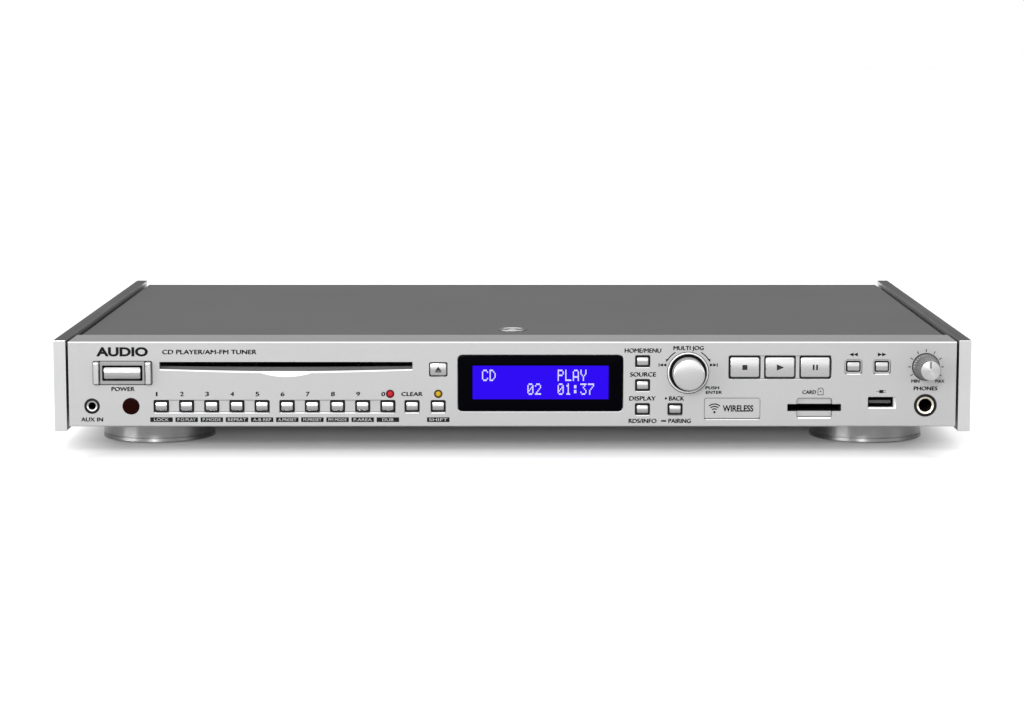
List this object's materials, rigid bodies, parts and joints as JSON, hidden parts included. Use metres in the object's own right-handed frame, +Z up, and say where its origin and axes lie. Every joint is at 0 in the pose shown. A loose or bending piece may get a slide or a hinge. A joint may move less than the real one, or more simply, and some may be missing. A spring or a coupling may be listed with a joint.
{
  "type": "cd player",
  "caption": "Full-width slot-in disc player with tuner, card and USB playback, display, push keys, jog and volume knobs, and a detailed loader inside.",
  "frame": {"origin": "on the ground under the middle of the whole object", "axes": "+Z up, the front with the keys faces -Y, +X to the right as a person faces the front"},
  "size_m": [0.435, 0.312, 0.053],
  "materials": {
    "front_aluminium": "satin anodised",
    "side_aluminium": "brushed and anodised",
    "top_paint": "matte grey",
    "rear_paint": "matte grey",
    "zinc_steel": "zinc plated",
    "foot_metal": "turned and polished",
    "rubber": "matte",
    "key_silver": "silver, semi-gloss",
    "gloss_black": "high gloss",
    "display_blue": "backlit",
    "dark_red": "high gloss",
    "black_plastic": "fine texture",
    "polished_metal": "polished",
    "knob_metal": "turned, satin",
    "socket_steel": "nickel plated",
    "contact_gold": "gold plated",
    "circuit_board": "solder mask",
    "legend_ink": "printed",
    "lamp_red": "translucent",
    "lamp_amber": "translucent"
  },
  "bodies": {
    "root": {"front_panel": "front_aluminium", "side_panel_left": "side_aluminium", "side_panel_right": "side_aluminium", "top_cover": "top_paint", "chassis_base": "zinc_steel", "rear_panel": "rear_paint", "foot_front_left": "foot_metal", "foot_front_right": "foot_metal", "foot_rear_left": "foot_metal", "foot_rear_right": "foot_metal", "foot_pad_front_left": "rubber", "foot_pad_front_right": "rubber", "foot_pad_rear_left": "rubber", "foot_pad_rear_right": "rubber", "power_frame": "polished_metal", "display_window": "gloss_black", "lcd_module": "display_blue", "infrared_window": "dark_red", "aux_jack": "black_plastic", "phones_jack": "contact_gold", "usb_socket": "socket_steel", "card_slot": "black_plastic", "volume_pot": "zinc_steel", "key_board": "circuit_board", "main_board": "circuit_board", "power_supply": "zinc_steel", "loader_frame": "zinc_steel", "output_jacks": "black_plastic", "aerial_socket": "socket_steel", "mains_inlet": "black_plastic"},
    "key_1": {"key_1": "key_silver"},
    "key_2": {"key_2": "key_silver"},
    "key_3": {"key_3": "key_silver"},
    "key_4": {"key_4": "key_silver"},
    "key_5": {"key_5": "key_silver"},
    "key_6": {"key_6": "key_silver"},
    "key_7": {"key_7": "key_silver"},
    "key_8": {"key_8": "key_silver"},
    "key_9": {"key_9": "key_silver"},
    "key_0": {"key_0": "key_silver"},
    "key_clear": {"key_clear": "key_silver"},
    "key_shift": {"key_shift": "key_silver"},
    "key_eject": {"key_eject": "key_silver"},
    "key_home": {"key_home": "key_silver"},
    "key_source": {"key_source": "key_silver"},
    "key_display": {"key_display": "key_silver"},
    "key_back": {"key_back": "key_silver"},
    "key_stop": {"key_stop": "key_silver"},
    "key_play": {"key_play": "key_silver"},
    "key_pause": {"key_pause": "key_silver"},
    "key_search_back": {"key_search_back": "key_silver"},
    "key_search_forward": {"key_search_forward": "key_silver"},
    "key_power": {"key_power": "key_silver"},
    "jog_plunger": {"jog_plunger": "black_plastic"},
    "jog_knob": {"jog_knob": "knob_metal"},
    "volume_knob": {"volume_knob": "knob_metal"},
    "loading_roller": {"loading_roller": "rubber"},
    "turntable": {"turntable": "black_plastic"},
    "laser_sled": {"laser_sled": "black_plastic"},
    "feed_screw": {"feed_screw": "socket_steel"}
  },
  "joints": [
    {"name": "key_1_press", "type": "slide", "parent": "root", "child": "key_1", "axis": [0, 1, 0], "range_m": [0, 0.0005], "stiffness_N_per_m": 1500, "springref_m": -0.0003},
    {"name": "key_2_press", "type": "slide", "parent": "root", "child": "key_2", "axis": [0, 1, 0], "range_m": [0, 0.0005], "stiffness_N_per_m": 1500, "springref_m": -0.0003},
    {"name": "key_3_press", "type": "slide", "parent": "root", "child": "key_3", "axis": [0, 1, 0], "range_m": [0, 0.0005], "stiffness_N_per_m": 1500, "springref_m": -0.0003},
    {"name": "key_4_press", "type": "slide", "parent": "root", "child": "key_4", "axis": [0, 1, 0], "range_m": [0, 0.0005], "stiffness_N_per_m": 1500, "springref_m": -0.0003},
    {"name": "key_5_press", "type": "slide", "parent": "root", "child": "key_5", "axis": [0, 1, 0], "range_m": [0, 0.0005], "stiffness_N_per_m": 1500, "springref_m": -0.0003},
    {"name": "key_6_press", "type": "slide", "parent": "root", "child": "key_6", "axis": [0, 1, 0], "range_m": [0, 0.0005], "stiffness_N_per_m": 1500, "springref_m": -0.0003},
    {"name": "key_7_press", "type": "slide", "parent": "root", "child": "key_7", "axis": [0, 1, 0], "range_m": [0, 0.0005], "stiffness_N_per_m": 1500, "springref_m": -0.0003},
    {"name": "key_8_press", "type": "slide", "parent": "root", "child": "key_8", "axis": [0, 1, 0], "range_m": [0, 0.0005], "stiffness_N_per_m": 1500, "springref_m": -0.0003},
    {"name": "key_9_press", "type": "slide", "parent": "root", "child": "key_9", "axis": [0, 1, 0], "range_m": [0, 0.0005], "stiffness_N_per_m": 1500, "springref_m": -0.0003},
    {"name": "key_0_press", "type": "slide", "parent": "root", "child": "key_0", "axis": [0, 1, 0], "range_m": [0, 0.0005], "stiffness_N_per_m": 1500, "springref_m": -0.0003},
    {"name": "key_clear_press", "type": "slide", "parent": "root", "child": "key_clear", "axis": [0, 1, 0], "range_m": [0, 0.0005], "stiffness_N_per_m": 1500, "springref_m": -0.0003},
    {"name": "key_shift_press", "type": "slide", "parent": "root", "child": "key_shift", "axis": [0, 1, 0], "range_m": [0, 0.0005], "stiffness_N_per_m": 1500, "springref_m": -0.0003},
    {"name": "key_eject_press", "type": "slide", "parent": "root", "child": "key_eject", "axis": [0, 1, 0], "range_m": [0, 0.0005], "stiffness_N_per_m": 1500, "springref_m": -0.0003},
    {"name": "key_home_press", "type": "slide", "parent": "root", "child": "key_home", "axis": [0, 1, 0], "range_m": [0, 0.0005], "stiffness_N_per_m": 1500, "springref_m": -0.0003},
    {"name": "key_source_press", "type": "slide", "parent": "root", "child": "key_source", "axis": [0, 1, 0], "range_m": [0, 0.0005], "stiffness_N_per_m": 1500, "springref_m": -0.0003},
    {"name": "key_display_press", "type": "slide", "parent": "root", "child": "key_display", "axis": [0, 1, 0], "range_m": [0, 0.0005], "stiffness_N_per_m": 1500, "springref_m": -0.0003},
    {"name": "key_back_press", "type": "slide", "parent": "root", "child": "key_back", "axis": [0, 1, 0], "range_m": [0, 0.0005], "stiffness_N_per_m": 1500, "springref_m": -0.0003},
    {"name": "key_stop_press", "type": "slide", "parent": "root", "child": "key_stop", "axis": [0, 1, 0], "range_m": [0, 0.0005], "stiffness_N_per_m": 1500, "springref_m": -0.0003},
    {"name": "key_play_press", "type": "slide", "parent": "root", "child": "key_play", "axis": [0, 1, 0], "range_m": [0, 0.0005], "stiffness_N_per_m": 1500, "springref_m": -0.0003},
    {"name": "key_pause_press", "type": "slide", "parent": "root", "child": "key_pause", "axis": [0, 1, 0], "range_m": [0, 0.0005], "stiffness_N_per_m": 1500, "springref_m": -0.0003},
    {"name": "key_search_back_press", "type": "slide", "parent": "root", "child": "key_search_back", "axis": [0, 1, 0], "range_m": [0, 0.0005], "stiffness_N_per_m": 1500, "springref_m": -0.0003},
    {"name": "key_search_forward_press", "type": "slide", "parent": "root", "child": "key_search_forward", "axis": [0, 1, 0], "range_m": [0, 0.0005], "stiffness_N_per_m": 1500, "springref_m": -0.0003},
    {"name": "key_power_press", "type": "slide", "parent": "root", "child": "key_power", "axis": [0, 1, 0], "range_m": [0, 0.0015], "stiffness_N_per_m": 800, "springref_m": -0.0005},
    {"name": "jog_push", "type": "slide", "parent": "root", "child": "jog_plunger", "axis": [0, 1, 0], "range_m": [0, 0.0006], "stiffness_N_per_m": 2000, "springref_m": -0.0005},
    {"name": "jog_spin", "type": "hinge", "parent": "jog_plunger", "child": "jog_knob", "pos_m": [0.08335, -0.146, 0.03746], "axis": [0, 1, 0], "continuous": true},
    {"name": "volume_turn", "type": "hinge", "parent": "root", "child": "volume_knob", "pos_m": [0.1961, -0.149, 0.0403], "axis": [0, 1, 0], "range_deg": [-150, 150]},
    {"name": "roller_spin", "type": "hinge", "parent": "root", "child": "loading_roller", "pos_m": [-0.1073, -0.119, 0.0357], "axis": [1, 0, 0], "continuous": true},
    {"name": "disc_spin", "type": "hinge", "parent": "root", "child": "turntable", "pos_m": [-0.1073, -0.057, 0.035], "axis": [0, 0, 1], "continuous": true},
    {"name": "screw_turn", "type": "hinge", "parent": "root", "child": "feed_screw", "pos_m": [-0.0793, -0.031, 0.0286], "axis": [0, -1, 0], "range_deg": [0, 4200]},
    {"name": "sled_slide", "type": "slide", "parent": "root", "child": "laser_sled", "axis": [0, 1, 0], "range_m": [0, 0.035]}
  ],
  "couplings": [
    {"joint": "screw_turn", "follows": "sled_slide", "rad_per_m": 2094.4}
  ]
}
